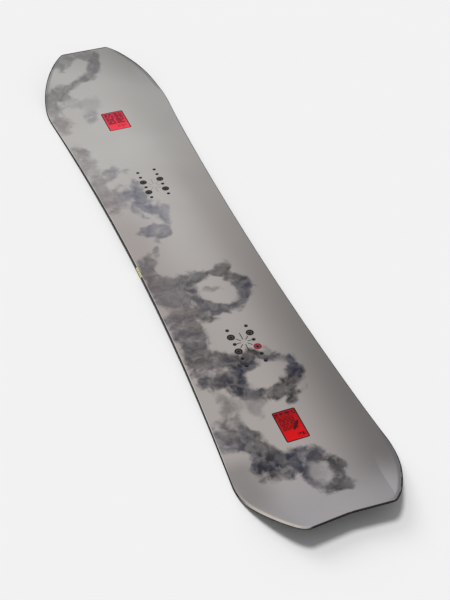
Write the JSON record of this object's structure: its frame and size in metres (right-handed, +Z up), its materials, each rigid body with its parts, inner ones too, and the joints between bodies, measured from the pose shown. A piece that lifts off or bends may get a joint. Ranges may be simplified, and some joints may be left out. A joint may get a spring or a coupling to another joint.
{
  "type": "snowboard",
  "caption": "Directional cambered snowboard without bindings: laminated wood core, steel edges, raised tips and threaded binding inserts.",
  "frame": {"origin": "on the floor under the board, midway along its length, on its centre line", "axes": "+X along the board towards the nose, +Y across it to the left, +Z up from the base to the top sheet"},
  "size_m": [1.5695, 0.3048, 0.0532],
  "materials": {
    "base": "sintered, fine stone grind",
    "edge_steel": "ground steel",
    "damping_rubber": "thin foil",
    "glass_laminate": "glass cloth in clear epoxy",
    "core_poplar": "sanded poplar",
    "core_beech": "sanded beech",
    "sidewall": "milled ABS",
    "tip_spacer": "milled ABS",
    "topsheet": "satin topsheet with a smoke print",
    "insert_steel": "stainless steel"
  },
  "bodies": {
    "root": {"base_sheet": "base", "steel_edge_left": "edge_steel", "steel_edge_right": "edge_steel", "edge_rubber_left": "damping_rubber", "edge_rubber_right": "damping_rubber", "lower_laminate": "glass_laminate", "core_strip_01": "core_beech", "core_strip_02": "core_poplar", "core_strip_03": "core_poplar", "core_strip_04": "core_beech", "core_strip_05": "core_poplar", "core_strip_06": "core_poplar", "core_strip_07": "core_poplar", "core_strip_08": "core_beech", "core_strip_09": "core_poplar", "core_strip_10": "core_poplar", "core_strip_11": "core_beech", "sidewall_left": "sidewall", "sidewall_right": "sidewall", "nose_spacer": "tip_spacer", "tail_spacer": "tip_spacer", "upper_laminate": "glass_laminate", "topsheet": "topsheet", "nose_inserts": "insert_steel", "tail_inserts": "insert_steel"}
  },
  "joints": []
}
